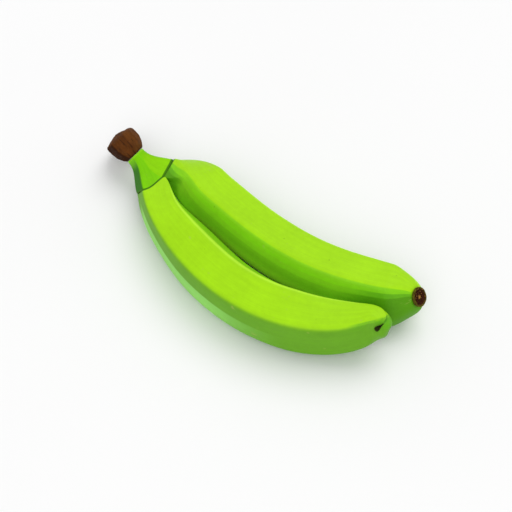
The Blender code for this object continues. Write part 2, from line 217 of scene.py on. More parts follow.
def gap_between(front_line, back_line):
    """Distance between the centre lines less each banana's reach towards the other."""
    share = front_line["share"]
    front_reach = outline_reach(math.pi, math.radians(FRONT["roll"]), FRAME_CRISPNESS)
    back_reach = outline_reach(0, math.radians(BACK["roll"]), FRAME_CRISPNESS)
    front = radius_along(FRONT, share) * front_reach
    back = radius_along(BACK, share) * back_reach
    apart = front_line["point"][:, None, :2] - back_line["point"][None, :, :2]
    return float((np.linalg.norm(apart, axis=2) - front[:, None] - back[None, :]).min())


narrow, wide = FRONT_HEADING - 20, FRONT_HEADING + 60
for _ in range(HALVINGS):
    middle = (narrow + wide) / 2
    if gap_between(front_line, centre_line(BACK, middle)) < FINGER_GAP:
        narrow = middle
    else:
        wide = middle
back_line = centre_line(BACK, wide)
print("the back banana leaves the crown at", round(wide, 1), "degrees")

# %% [markdown]
# ## Putting the lines in the frame
#
# The lines above start from the neck's end. The frame has its origin under the middle of the
# bunch, so both lines move by the same amount. That amount is read from the frame: the boxes of
# its two bananas say how far the belly and the tip have to move. The place of any ring on a line
# comes from one function, which the skins use later too.

# %% Rings on a line
NOSE_TWIST_START = 0.6


def at(line, share, finger):
    """Centre, direction, side and up vectors at any share of the length, straight on before 0."""
    inside = np.clip(share, 0, 1)
    point, direction = [
        np.stack([np.interp(inside, line["share"], line[key][:, k]) for k in range(3)], axis=-1)
        for key in ("point", "direction")
    ]
    point = point + direction * (share - inside)[..., None] * finger["length"]
    side = np.stack([direction[..., 1], -direction[..., 0], 0 * direction[..., 0]], axis=-1)
    side = side / np.linalg.norm(side, axis=-1, keepdims=True)
    return point, direction, side, np.cross(side, direction)


def rings(line, finger, share, angle, radius):
    """C(share) + radius * (cos(angle) * side + sin(angle) * up)."""
    point, _, side, up = at(line, share, finger)
    across = np.cos(angle)[..., None] * side + np.sin(angle)[..., None] * up
    return point + radius[..., None] * across


def roll_along(finger, share):
    """roll + base_twist * (1 - share / end)^2 + nose_twist * ease_in from the start of the nose's
    twist, in radians."""
    base = finger["base_twist"] * ease_out(share, finger["base_twist_end"])
    nose = finger["nose_twist"] * ease_in(share, NOSE_TWIST_START)
    return np.radians(finger["roll"] + base + nose)


def plain_rings(line, finger):
    """The banana as the frame has it, with soft ridges and nothing else."""
    share, angle = np.meshgrid(np.linspace(0.1, 1, 200), np.linspace(0, 2 * math.pi, 121))
    outline = ring_outline(angle, math.radians(finger["roll"]), FRAME_CRISPNESS)
    return rings(line, finger, share, angle, radius_along(finger, share) * outline)


print("the back line starts at", np.round(at(back_line, np.zeros(1), BACK)[0][0] * 1000, 1), "mm")

# %% [markdown]
# The outer half of the front banana then moves a little further back than in the frame, so that
# it lies closer to the other one.

# %% Place the lines
VIEW_TURN = 33  # degrees from the frame's X axis to the right of the view
FRONT_MOVE = 0.0018

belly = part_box("front_banana")[0][1] - plain_rings(front_line, FRONT)[..., 1].min()
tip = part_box("back_banana")[1][0] - plain_rings(back_line, BACK)[..., 0].max()
shift = np.array([tip, belly, 0.0])
front_line["point"] += shift
back_line["point"] += shift
away = np.array([-math.sin(math.radians(VIEW_TURN)), math.cos(math.radians(VIEW_TURN)), 0.0])
front_line["point"] += FRONT_MOVE * smooth_step(front_line["share"], 0.3, 0.7)[:, None] * away
joint = shift + [0, 0, (front_line["point"][0, 2] + back_line["point"][0, 2]) / 2]
joint[2] -= (FRONT["stalk_length"] + BACK["stalk_length"]) / 2 * math.tan(math.radians(NECK_PITCH))
print("the neck ends at", np.round(joint * 1000, 1), "mm")

# %% [markdown]
# ## From a grid of points to a mesh
#
# Every piece below is a grid: rows run along it, columns run round it and close. One helper turns
# any such grid into a mesh with outward faces and closes both ends. Two things that follow the
# shape are stored on its points for the finish to read: a colour, and a place in the grain. The
# place in the grain is (cos, sin, centimetres along), so a pattern made from it closes round the
# piece without a seam, which a flat UV map can't do.

# %% Mesh helper


def grid_mesh(name, points, centimetres, colour, sharp=60, halves=None):
    """Quad (i, j) joins rows i and i + 1 and columns j and j + 1, with the last column joined to
    the first. Each end row is closed by one face, or the last one by a face for each half."""
    rows, columns = points.shape[:2]
    i, j = np.meshgrid(np.arange(rows - 1), np.arange(columns), indexing="ij")
    right = (j + 1) % columns
    this_row, next_row = i * columns, (i + 1) * columns
    corners = [this_row + j, next_row + j, next_row + right, this_row + right]
    quads = np.stack(corners, axis=-1).reshape(-1, 4)
    caps = [np.arange(columns)]
    if halves is None:
        caps.append((rows - 1) * columns + np.arange(columns)[::-1])
    else:
        row_start = (rows - 1) * columns
        caps.append(row_start + np.append(halves[0], halves[1][0])[::-1])
        caps.append(row_start + np.append(halves[1], halves[0][0])[::-1])
    mesh = bpy.data.meshes.new(name)
    faces = quads.tolist() + [cap.tolist() for cap in caps]
    mesh.from_pydata(points.reshape(-1, 3), [], faces)

    round_piece = np.arange(columns) * 2 * math.pi / columns
    grain = np.empty((rows, columns, 3))
    grain[..., 0], grain[..., 1] = np.cos(round_piece), np.sin(round_piece)
    grain[..., 2] = centimetres[:, None]
    places = mesh.attributes.new("grain_place", "FLOAT_VECTOR", "POINT")
    places.data.foreach_set("vector", grain.ravel())

    paints = np.ones((rows, columns, 4))
    paints[..., :3] = colour
    layer = mesh.color_attributes.new("grown_colour", "FLOAT_COLOR", "POINT")
    layer.data.foreach_set("color", paints.ravel())

    mesh.polygons.foreach_set("use_smooth", np.ones(len(mesh.polygons), bool))
    mesh.set_sharp_from_angle(angle=math.radians(sharp))
    piece = bpy.data.objects.new(name, mesh)
    bpy.context.scene.collection.objects.link(piece)
    size = np.ptp(points.reshape(-1, 3), axis=0) * 1000
    print(name, "has", len(quads) * 2, "triangles and measures", np.round(size, 1), "mm")
    return piece


print("a grid of 3 rows and 4 columns has", 2 * (3 - 1) * 4, "triangles and two end faces")

# %% [markdown]
# Nothing that grew is perfectly even. A sum of sines with seeded random phases gives shallow waves
# that are the same each time and close round the piece. Noise textures can only shade a surface,
# and these waves move its points.

# %% Ripples


def ripples(around, along, most_around, most_along, seed, waves=12):
    """Sum of sin(k * around + l * along + phase) / sqrt(waves). Each k is a whole number, so the
    ripples close round the piece, and k, l and the phases come from a seeded generator."""
    draw = np.random.default_rng(seed)
    total = 0.0
    for _ in range(waves):
        k, l = draw.integers(0, most_around + 1), draw.uniform(-most_along, most_along)
        total = total + np.sin(k * around + l * along + draw.uniform(0, 2 * math.pi))
    return total / math.sqrt(waves)


one_turn = ripples(np.linspace(0, 2 * math.pi, 100), 0.0, 3, 5, seed=1)
print("ripples round a ring run from", round(one_turn.min(), 2), "to", round(one_turn.max(), 2))

# %% [markdown]
# ## The colours of the skin
#
# A green banana isn't one green, and here light and shade are painted into it as well. The upper
# side is painted a bright yellow-green as painted light from above, the sides pressed against its
# neighbours are painted deeper as painted shade, and the low ones cooler, also as painted shade.
# The colour changes at the ridges, so each of the five sides gets a colour of its own and a narrow
# blend joins them. A thin pale line along the upper ridge is a painted highlight.

# %% Paint


def paint(red, green, blue):
    """A colour given as 0 to 255 on a screen, as the linear values that a shader takes."""
    value = np.array([red, green, blue]) / 255
    return np.where(value <= 0.04045, value / 12.92, ((value + 0.055) / 1.055) ** 2.4)


def mixed(first, second, share):
    """first * (1 - share) + second * share."""
    return first + (second - first) * np.asarray(share)[..., None]


print("mid grey on a screen is", np.round(paint(128, 128, 128), 3), "in linear light")

# %% Greens
# These greens paint light and shade into the skin. The bright green is painted light from above, the
# edge green a painted highlight, and the mint a painted light bounced up from the table. The middle,
# deep, cool, under and nose greens are steps of painted shade, and the deepest is painted lighter than
# the rest to make up for the real shade in the gap. The seam green is the dark rim at a joint.
LIT_GREEN = paint(161, 220, 16)
HIGHLIGHT_GREEN = paint(182, 238, 50)
MIDDLE = paint(140, 212, 26)
MIDDLE_SHADE_GREEN = paint(138, 204, 30)
GAP_SHADE_GREEN = paint(129, 192, 30)
GAP_PAINTED_LIGHT = paint(168, 240, 44)
UNDERSIDE_SHADE_GREEN = paint(90, 158, 18)
SHADED_GREEN = paint(104, 166, 32)
BOUNCE_LIGHT_GREEN = paint(148, 218, 103)
NOSE_GREEN = paint(100, 174, 22)
NOSE_STRIP = paint(122, 190, 30)
NOSE_MIDDLE = paint(128, 204, 22)
NOSE_SHADE_GREEN = paint(84, 150, 12)
SEAM_GREEN = paint(66, 122, 4)
FRONT_SIDES = np.array([SHADED_GREEN, LIT_GREEN, MIDDLE, UNDERSIDE_SHADE_GREEN, UNDERSIDE_SHADE_GREEN])
BACK_SIDES = np.array([MIDDLE, LIT_GREEN, MIDDLE, SHADED_GREEN, UNDERSIDE_SHADE_GREEN])
print("the brightest skin is", np.round(LIT_GREEN, 3), "in linear light")

# %% One colour for each side
BLEND_SHARPNESS = 26.0


def side_shares(angle):
    """max(0, cos(angle - side))^q for each of the five sides, divided by their sum."""
    sides = np.arange(FACETS) * 2 * math.pi / FACETS
    weight = np.maximum(0.0, np.cos(angle[..., None] - sides)) ** BLEND_SHARPNESS
    return weight / weight.sum(axis=-1, keepdims=True)


on_a_ridge = side_shares(np.array([math.pi / FACETS]))[0]
print("on a ridge the five sides share the colour as", np.round(on_a_ridge, 2))

# %% [markdown]
# The front banana shows its nose head on. There the painted light no longer follows the sides:
# the painted light on its top simply ends at one height, over a strip of middle green and a front
# in painted shade, and the crease on the tip is darkened with painted shade.

# %% Front banana's colours


def front_colour(share, angle, above_tip):
    """Side colours of painted light and shade, a painted rim of light bounced up from the table along
    the low edge of the near side, and a nose whose painted light on top ends level, at a height
    above the tip's centre, with painted shade below it and in its crease."""
    colour = side_shares(angle) @ FRONT_SIDES
    # painted light bounced up from the table, as a mint rim along the low edge of the near side
    rim = smooth_step(angle, 0.02, -0.06) * smooth_step(angle, -1.15, -1.0)
    rim = rim * smooth_step(share, 0.72, 0.40) * smooth_step(share, 0.03, 0.10)
    colour = mixed(colour, BOUNCE_LIGHT_GREEN, rim)
    # painted light and shade on the nose: a shaded front and far side, then a strip, then the lit top
    # above a set height
    far_side = smooth_step(np.cos(angle - 2.0), -0.2, 0.5)
    nose = mixed(np.broadcast_to(SHADED_GREEN, colour.shape), NOSE_GREEN, far_side)
    nose = mixed(nose, NOSE_STRIP, smooth_step(above_tip, 0.0018, 0.0026))
    nose = mixed(nose, LIT_GREEN, smooth_step(above_tip, 0.0033, 0.0039))
    # painted shade in the crease on the tip
    crease = smooth_step(np.abs(angle - 2.35), 0.20, 0.06) * smooth_step(share, 0.965, 0.985)
    nose = mixed(nose, NOSE_SHADE_GREEN, 0.8 * crease)
    return mixed(colour, nose, smooth_step(share, 0.87, 0.93))


tip_top = front_colour(np.ones(1), np.ones(1), np.full(1, 0.005))[0]
print("5 mm above the front tip's centre the skin is", np.round(tip_top, 2))

# %% [markdown]
# The back banana turns its shaded side to the view. Bands of painted shade lie below its upper
# ridge and draw together at both ends. Little light gets into the gap, so the lowest band is
# painted lighter than it will look.

# %% Back banana's colours
RIDGE_ANGLE = 180 / FACETS
RIDGE_LEAN = 14  # degrees by which the bright side reaches down at the crown


def back_colour(share, angle):
    """Side colours of painted light and shade, painted light on the bright side down to the leaning
    ridge, and bands of painted shade at set numbers of degrees below it. The degrees are stretched
    at both ends, and the painted shade is darker there."""
    colour = side_shares(angle) @ BACK_SIDES
    ridge = RIDGE_ANGLE - RIDGE_LEAN * smooth_step(share, 0.11, 0.0)
    below_ridge = (ridge - np.degrees(angle)) / (0.6 + 0.4 * smooth_step(share, 0.0, 0.15))
    # painted light on the upper side, down to the ridge
    lit_side = smooth_step(below_ridge, 1, -2) * smooth_step(angle, 1.05, 0.87)
    colour = mixed(colour, LIT_GREEN, lit_side)
    # bands of painted shade, deeper towards the gap, with the lowest painted lighter to make up for the
    # real shade there
    near = smooth_step(below_ridge, -2, 1) * smooth_step(below_ridge, 80, 72)
    at_end = np.maximum(smooth_step(share, 0.74, 0.90), smooth_step(share, 0.12, 0.04))
    below_ridge = below_ridge * (1 + 0.35 * at_end)
    band = mixed(mixed(MIDDLE, NOSE_MIDDLE, at_end), MIDDLE_SHADE_GREEN, smooth_step(below_ridge, 15, 18))
    band = mixed(band, GAP_SHADE_GREEN, smooth_step(below_ridge, 29, 32))
    band = mixed(band, GAP_PAINTED_LIGHT, smooth_step(below_ridge, 44, 66) * smooth_step(share, 0.07, 0.22))
    band = mixed(band, NOSE_GREEN, smooth_step(below_ridge, 13, 16) * at_end)
    band = mixed(band, NOSE_SHADE_GREEN, smooth_step(below_ridge, 27, 30) * at_end)
    colour = mixed(colour, band, near)
    # darker painted shade low down at both ends
    lowest = smooth_step(below_ridge, 60, 70) * at_end * (below_ridge < 150)
    return mixed(colour, NOSE_SHADE_GREEN, lowest)


groove = back_colour(np.full(1, 0.5), np.full(1, -0.5))[0]
print("deep in the gap the back skin is", np.round(groove, 2))

# %% Painted highlight line and seam rim
HIGHLIGHT_SHARE = 0.9  # how strong the back banana's pale line is


def skin_colour(finger, share, angle, from_seam, above_tip):
    """Bands of painted light and shade, then a painted highlight as a pale line over the upper ridge,
    then the dark rim at the seam. The angle is the one past the banana's roll, from -180 to 180
    degrees, in radians."""
    if finger is FRONT:
        colour, strength = front_colour(share, angle, above_tip), smooth_step(share, 0.95, 0.90)
    else:
        colour, strength = back_colour(share, angle), HIGHLIGHT_SHARE
    wide = smooth_step(share, 0.6, 0.9) * (finger is BACK)
    # painted highlight: a thin pale line over the upper ridge
    pale = smooth_step(angle, 1.82, 1.87) * smooth_step(angle, 2.02 + 0.25 * wide, 1.94 + 0.2 * wide)
    pale = pale * smooth_step(share, 0.02, 0.12) * strength
    colour = mixed(colour, HIGHLIGHT_GREEN, pale)
    return mixed(colour, SEAM_GREEN, smooth_step(from_seam, 0.0012, 0.0006))


seam_rim = skin_colour(BACK, np.zeros(1), np.zeros(1), np.zeros(1), np.zeros(1))[0]
print("the rim at a seam is", np.round(seam_rim, 2))

# %% [markdown]
# ## The two bananas
#
# Each banana is its rings, and a few things that make it real: the ring at the seam lies on a
# slanted plane, its edge is rolled in like a lip, long shallow waves run through the skin, and
# the lowest ridge is pressed flat on the table. The press is a smooth maximum, so the skin curves
# into the flat patch and doesn't break there.

# %% Press, rows and angles
FLAT_EDGE = 0.0006


def press_on_table(points):
    """z becomes (z + sqrt(z^2 + w^2)) / 2, which is z well above the table and 0 below it."""
    pressed = points.copy()
    z = points[..., 2]
    pressed[..., 2] = (z + np.sqrt(z**2 + FLAT_EDGE**2)) / 2
    return pressed


def crowded_rows(rows, share_of_crowding=0.6):
    """Row places from 0 to 1 that lie closer together towards both ends."""
    even = np.linspace(0, 1, rows)
    return (1 - share_of_crowding) * even + share_of_crowding * (1 - np.cos(math.pi * even)) / 2


def wrapped(angle):
    """The angle less whole turns, from -pi to pi."""
    return (angle + math.pi) % (2 * math.pi) - math.pi


print("a row's first step out of ten is", round(float(crowded_rows(11)[1]), 3), "of the length")

# %% [markdown]
# A stalk doesn't meet the crown squarely. Its seam is a slanted ring, so each of the ring's points
# slides along the banana by its height times the tangent of the slant.

# %% Slanted seams


def base_outline(finger, angle):
    """The banana's ring outline at its seam."""
    return ring_outline(angle, roll_along(finger, 0.0), CRISPNESS) * FULLNESS


def seam_offset(finger, angle):
    """How far along a ring's point has to slide to lie on the slanted seam: height * tan(slant)."""
    height = finger["base_radius"] * base_outline(finger, angle) * np.sin(angle)
    return height * math.tan(math.radians(finger["seam_slant"]))


def bare_seam(finger, line, angle):
    """The banana's own slanted ring at its seam, before the two seams are drawn together."""
    start = np.zeros_like(angle)
    ring = rings(line, finger, start, angle, finger["base_radius"] * base_outline(finger, angle))
    return ring + line["direction"][0] * seam_offset(finger, angle)[..., None]


ends = bare_seam(FRONT, front_line, np.radians([-90.0, 90.0]))
print("the front seam is", round(np.linalg.norm(ends[1] - ends[0]) * 1000, 1), "mm from top to bottom")

# %% [markdown]
# ### Where the two stalks part
#
# On a real bunch the stalks part in a fold and there is no open gap between them. Two round tubes
# side by side would leave one, so the facing parts of both seams move to meet half way. The
# bananas and the crown share the same movement and so still fit. It fades along the banana and
# round it. It isn't perfect: for a few millimetres behind the fold the skins cross each other.

# %% Draw the seams together
CROTCH_FRONT, CROTCH_BACK = 112, 62  # angles on each seam where the two stalks part
FOLD_WIDTH = 22  # degrees over which the movement fades round a seam
DRAWN_LENGTH = 0.016  # metres over which it fades along a banana


def drawn_together(finger, angle):
    """Half the gap to the other banana's seam, less a hair. Angles from one crotch to the other
    on this seam map evenly onto those of the other seam. Outside them it fades as a bell curve."""
    degrees = np.degrees(angle) % 360
    if finger is FRONT:
        inside = np.clip(degrees, CROTCH_FRONT, 360 - CROTCH_FRONT)
        turn = (inside - 180) / (180 - CROTCH_FRONT)
        other = np.radians(-turn * CROTCH_BACK)
        gap = bare_seam(BACK, back_line, other) - bare_seam(FRONT, front_line, np.radians(inside))
    else:
        degrees = np.where(degrees > 180, degrees - 360, degrees)
        inside = np.clip(degrees, -CROTCH_BACK, CROTCH_BACK)
        other = np.radians(180 - inside / CROTCH_BACK * (180 - CROTCH_FRONT))
        gap = bare_seam(FRONT, front_line, other) - bare_seam(BACK, back_line, np.radians(inside))
    fade = np.exp(-(((degrees - inside) / FOLD_WIDTH) ** 2))
    shorter = 1 - 2 * SEAM_GAP / np.linalg.norm(gap, axis=-1)
    return gap / 2 * (np.clip(shorter, 0, 1) * fade)[..., None]


moved = np.linalg.norm(drawn_together(BACK, np.zeros(1)), axis=-1)[0]
print("half way between the folds the back seam moves", round(moved * 1000, 1), "mm")

# %% [markdown]
# ### Fuller places
#
# A banana is squeezed as it grows, and it swells where it has room. The back one is fuller under
# its nose and a little fuller where it leaves the crown. The front one has a crease on its tip,
# which runs out of the dried mark.

# %% Fuller places
CREASE_DEPTH, CREASE_ANGLE, CREASE_WIDTH = 0.0013, 2.74, 0.13
CROWN_SWELL, NOSE_SWELL = 0.0008, 0.0040


def fuller(finger, share, angle):
    """Extra radius in metres: bell curves along the banana times cos^2 bumps round it."""
    if finger is FRONT:
        round_it = np.exp(-(((angle - CREASE_ANGLE) / CREASE_WIDTH) ** 2))
        return -CREASE_DEPTH * (round_it * smooth_step(share, 0.93, 0.985))
    towards_front = np.cos(np.clip((angle + 0.35) / 1.5, -1, 1) * math.pi / 2) ** 2
    under_nose = np.cos(np.clip((angle + 0.75) / 1.1, -1, 1) * math.pi / 2) ** 2
    crown_end = np.exp(-(((share - 0.04) / 0.11) ** 2))
    nose_end = np.exp(-(((share - 0.915) / 0.042) ** 2))
    return CROWN_SWELL * crown_end * towards_front + NOSE_SWELL * nose_end * under_nose


under_the_nose = fuller(BACK, np.full(1, 0.915), np.full(1, -0.75))[0]
print("under its nose the back banana is", round(under_the_nose * 1000, 1), "mm fuller")

# %% [markdown]
# ### One function for both
#
# The function below puts it all together. Both bananas go through it with their own sizes, so
# whatever is learnt on one helps the other. Last, the tip is drawn aside a little, because the
# dried mark isn't always in the very middle.

# %% Tips
PULL_REACH = 0.0085


def tip_frame(finger, line):
    """The tip's centre, direction, side and up vectors."""
    return [values[0] for values in at(line, np.ones(1), finger)]


def tip_pull(finger, line):
    """How far the tip is drawn aside: pull across and pull up in its own ring."""
    _, _, side, up = tip_frame(finger, line)
    return finger["tip_pull"][0] * side + finger["tip_pull"][1] * up


print("the front tip moves", np.round(tip_pull(FRONT, front_line) * 1000, 1), "mm")

# %% Make the bananas
ROWS, COLUMNS = 330, 250
NOSE_SOFTENING = 8.5  # how much of the crispness is gone at the nose
WAVE_DEPTH = 0.004
LIP = 0.0005  # both how deep the seam's lip is and how far it reaches


def banana(finger, line):
    """Rings at share + offset * (1 - share / 0.15)^2, with radius R * outline * (1 + waves)."""
    around = np.arange(COLUMNS) * 2 * math.pi / COLUMNS
    row, around = np.meshgrid(crowded_rows(ROWS), around, indexing="ij")
    angle = around + roll_along(finger, row)
    start = (seam_offset(finger, angle) + SEAM_GAP / 2) / finger["length"]
    share = row + start * ease_out(row, 0.15)
    from_seam = (share - start) * finger["length"]
    crispness = CRISPNESS - NOSE_SOFTENING * smooth_step(share, 0.82, 0.97)
    outline = ring_outline(around, 0, crispness)
    radius = radius_along(finger, np.clip(share, 0, 1)) * FULLNESS * outline
    waves = ripples(angle, 2 * math.pi * share, 3, 5, seed=len(finger["name"]))
    lip = LIP * np.exp(-((from_seam / LIP) ** 2))
    radius = radius * (1 + WAVE_DEPTH * waves) - lip + fuller(finger, share, wrapped(angle))
    points = rings(line, finger, share, angle, radius)
    tip, _, _, tip_up = tip_frame(finger, line)
    near_tip = np.exp(-((np.linalg.norm(points - tip, axis=-1) / PULL_REACH) ** 2))[..., None]
    together = np.exp(-((from_seam / DRAWN_LENGTH) ** 2))[..., None]
    points = points + drawn_together(finger, angle) * together + tip_pull(finger, line) * near_tip
    points = press_on_table(points)
    above_tip = (points - tip) @ tip_up
    colour = skin_colour(finger, share, wrapped(around), from_seam, above_tip)
    centimetres = crowded_rows(ROWS) * finger["length"] * 100
    return grid_mesh(f"{finger['name']}_skin", points, centimetres, colour), points


front_skin, front_points = banana(FRONT, front_line)
back_skin, back_points = banana(BACK, back_line)
sample = [points[::6, ::5].reshape(-1, 3) for points in (front_points, back_points)]
nearest = np.linalg.norm(sample[0][:, None] - sample[1][None], axis=2).min()
print("the nearest points sampled on the two skins are", round(nearest * 1000, 2), "mm apart")

# %% [markdown]
# ## The crown
#
# The crown is one piece of green tissue: a neck that parts into two stalks. Joining three tubes
# with a Boolean would leave hard creases. Here every line along the crown is one cubic curve. It
# leaves the round neck along the neck, and arrives on a banana's seam along that banana. Columns
# on the camera's side of the neck go to the front seam and the rest to the back one. Where the
# two sets meet, above and below, the surface folds into the soft crotch between the stalks.

# %% Neck and joint
CUT_SLANT, CUT_TURN = 32, 19


def frame_of(direction):
    """Side and up vectors of a direction: side is level and to its right."""
    side = np.array([direction[1], -direction[0], 0.0])
    side = side / np.linalg.norm(side)
    return side, np.cross(side, direction)


def neck_and_cut():
    """The neck's direction, and the slanted normal of the joint and the old cut: back along the
    neck, tilted up by the slant and then turned about Z."""
    heading, pitch = math.radians(NECK_HEADING), math.radians(NECK_PITCH)
    neck = [math.cos(heading) * math.cos(pitch), math.sin(heading) * math.cos(pitch), math.sin(pitch)]
    neck = np.array(neck)
    _, up = frame_of(-neck)
    tilted = -neck * math.cos(math.radians(CUT_SLANT)) + up * math.sin(math.radians(CUT_SLANT))
    c, s = math.cos(math.radians(CUT_TURN)), math.sin(math.radians(CUT_TURN))
    spin = np.array([[c, -s, 0], [s, c, 0], [0, 0, 1]])
    return neck, spin @ tilted


def sheared(across, direction, normal):
    """across + t * direction, with t = -(across . normal) / (direction . normal): a flat ring
    slid along its tube until it lies on a slanted plane."""
    slide = -(across @ normal) / (direction @ normal)
    return across + slide[..., None] * direction


neck, cut_normal = neck_and_cut()
print("the joint leans", round(math.degrees(math.acos(-neck @ cut_normal)), 1), "degrees off square")

# %% [markdown]
# The crown's lines have to arrive exactly where the bananas begin, less half the gap. So the end
# of the crown is worked out from the same seams, the same movement and the same swelling, and it
# takes a colour for each side of each stalk: its own green with painted light and painted shade.

# %% The crown's end
CROWN_COLUMNS = 260
FRONT_COLUMNS = CROWN_COLUMNS // 2
CROWN_MAIN = paint(121, 202, 6)
CROWN_LIT = paint(137, 208, 8)
CROWN_SHADE = paint(47, 118, 1)
# one colour for each side of a stalk: the crown's own green, with painted light on three sides of
# the back stalk and painted shade on three sides of the front one
FRONT_STALK = np.array([CROWN_SHADE, CROWN_MAIN, CROWN_MAIN, CROWN_SHADE, CROWN_SHADE])
BACK_STALK = np.array([CROWN_LIT, CROWN_LIT, CROWN_LIT, CROWN_MAIN, CROWN_MAIN])


def seam_ring(finger, line, angle):
    """A banana's ring at its seam, drawn together with the other one, just short of the gap."""
    ring = bare_seam(finger, line, angle) + drawn_together(finger, angle)
    swell = fuller(finger, 0.0 * angle, wrapped(angle))
    side, up = frame_of(line["direction"][0])
    across = np.cos(angle)[:, None] * side + np.sin(angle)[:, None] * up
    return ring + swell[:, None] * across - line["direction"][0] * SEAM_GAP / 2


def stalk_end(finger, line, angle, side_colours):
    """One stalk's part of the end: its points, its end tangents and its colours, with painted light
    and shade.
    """
    pull = np.repeat(line["direction"][:1], len(angle), axis=0)
    colour = side_shares(angle - roll_along(finger, 0.0)) @ side_colours
    return seam_ring(finger, line, angle), pull, colour


def crown_end():
    """The two stalks' ends one after the other: points, tangents and colours."""
    back_columns = CROWN_COLUMNS - FRONT_COLUMNS
    front_angle = np.radians(np.linspace(-CROTCH_FRONT, CROTCH_FRONT, FRONT_COLUMNS))
    back_angle = np.radians(np.linspace(CROTCH_BACK, 360 - CROTCH_BACK, back_columns))
    front_end = stalk_end(FRONT, front_line, front_angle, FRONT_STALK)
    back_end = stalk_end(BACK, back_line, back_angle, BACK_STALK)
    return [np.concatenate(both) for both in zip(front_end, back_end)]


print("the crown's end measures", np.round(np.ptp(crown_end()[0], axis=0) * 1000, 1), "mm")

# %% Make the crown
CROWN_ROWS = 150
NECK_RADIUS, NECK_CRISPNESS = 0.0059, 7.0
CROWN_PULL = 0.030  # length of the curves' end tangents: longer holds the neck straight for longer


def crown():
    """Cubic curves h00 J + h10 T0 + h01 E + h11 T1, from the joint ring J to the seams E."""
    end, pull, colour = crown_end()
    angle = np.concatenate([
        np.radians(np.linspace(-90, 90, FRONT_COLUMNS)),
        np.radians(np.linspace(90, 270, CROWN_COLUMNS - FRONT_COLUMNS)),
    ])
    side, up = frame_of(neck)
    outline = NECK_RADIUS * ring_outline(angle, roll_along(FRONT, 0.0), NECK_CRISPNESS)
    across = outline[:, None] * (np.cos(angle)[:, None] * side + np.sin(angle)[:, None] * up)
    start = joint + neck * SEAM_GAP / 2 + sheared(across, neck, cut_normal)
    t = crowded_rows(CROWN_ROWS)[:, None, None]
    points = (2 * t**3 - 3 * t**2 + 1) * start + (t**3 - 2 * t**2 + t) * neck * CROWN_PULL
    points = points + (3 * t**2 - 2 * t**3) * end + (t**3 - t**2) * pull * CROWN_PULL
    reach = np.linalg.norm(end - start, axis=-1)
    from_seam, from_joint = (1 - t[..., 0]) * reach, t[..., 0] * reach
    seam = smooth_step(from_seam, 0.0014, 0.0008)
    away_from_joint = smooth_step(t[..., 0], 0.0, 0.4)
    # the painted light and shade fade to the crown's own green near the joint
    shades = mixed(np.broadcast_to(CROWN_MAIN, points.shape), colour, away_from_joint)
    shades = mixed(shades, SEAM_GREEN, seam)
    # painted highlight: a thin pale line just below the joint
    shades = mixed(shades, HIGHLIGHT_GREEN, 0.35 * np.exp(-(((from_joint - 0.0008) / 0.0006) ** 2)))
    halves = [np.arange(FRONT_COLUMNS), np.arange(FRONT_COLUMNS, CROWN_COLUMNS)]
    centimetres = crowded_rows(CROWN_ROWS) * 3
    return grid_mesh("crown_skin", points, centimetres, shades, halves=halves)


crown_skin = crown()

# %% [markdown]
# ## The dried end of the neck
#
# Where the bunch was cut from its stalk, the green tissue dried to a brown, woody knob. It shrank
# unevenly, so it is faceted like whittled wood, flared at the old cut, and rounded at its rim. It
# could be carved from a cylinder with a few planes. The ring outline above already makes
# facets, so the same formula does it here, with sides of uneven angle and distance.

# %% Whittled outline
STUB_SIDES = 8


def whittled_outline(angle, seed=4, crispness=18.0):
    """(sum over uneven sides of (max(0, cos(angle - side)) / distance)^p) ^ (-1 / p)."""
    draw = np.random.default_rng(seed)
    uneven = np.arange(STUB_SIDES) + draw.uniform(-0.22, 0.22, STUB_SIDES)
    sides = uneven * 2 * math.pi / STUB_SIDES
    distances = draw.uniform(0.93, 1.03, STUB_SIDES)
    nearness = np.maximum(0.0, np.cos(np.subtract.outer(angle, sides))) / distances
    weight = nearness**crispness
    tones = draw.uniform(0, 1, STUB_SIDES)
    return weight.sum(axis=-1) ** (-1 / crispness), (weight @ tones) / weight.sum(axis=-1)


whittled = whittled_outline(np.linspace(0, 2 * math.pi, 361))[0]
print("the knob's outline reaches from", round(whittled.min(), 2), "to", round(whittled.max(), 2))

# %% Profile of the dried end
STUB_LENGTH, STUB_WAIST, STUB_END = 0.0200, 0.0066, 0.0108
STUB_RIM, STUB_RIM_CHANGE, ROUND_SIDE = 0.0032, 0.0014, 45
STUB_DOME = 0.0022
RIM_START, DOME_START = 0.60, 0.76  # places along the profile


def stub_profile(path, angle):
    """Distance from the joint and radius on each line: the flare w + f (1 - (1 - s)^3), a quarter
    turn over the rim, and then the old cut, domed as 1 - r^2. The rim is rounder on one side."""
    rim = STUB_RIM + STUB_RIM_CHANGE * np.cos(angle - math.radians(ROUND_SIDE))
    body = np.clip(path / RIM_START, 0, 1)
    over = np.clip((path - RIM_START) / (DOME_START - RIM_START), 0, 1) * math.pi / 2
    inwards = 1 - np.clip((path - DOME_START) / (1 - DOME_START), 0, 1)
    flare = STUB_WAIST + (STUB_END - STUB_WAIST) * (1 - (1 - body) ** 3)
    distance = (STUB_LENGTH - rim) * body + rim * np.sin(over) + STUB_DOME * (1 - inwards**2)
    radius = (flare - rim * (1 - np.cos(over))) * np.maximum(inwards, 0.004)
    return distance, radius, inwards


end_of_rim = stub_profile(np.full(1, DOME_START), np.zeros(1))
print("over the rim the knob is", np.round(end_of_rim[1] * 1000, 1), "mm in radius")

# %% Make the dried end
STUB_ROWS, STUB_COLUMNS = 190, 240
# the light brown is painted light on the upper shoulder, and the darkest brown is painted shade on the
# underside and the dark line at the joint
DRIED = paint(100, 56, 19)
DRIED_DARK = paint(74, 39, 12)
DRIED_SHADE_AND_JOINT = paint(54, 26, 6)
DRIED_LIT = paint(98, 57, 22)


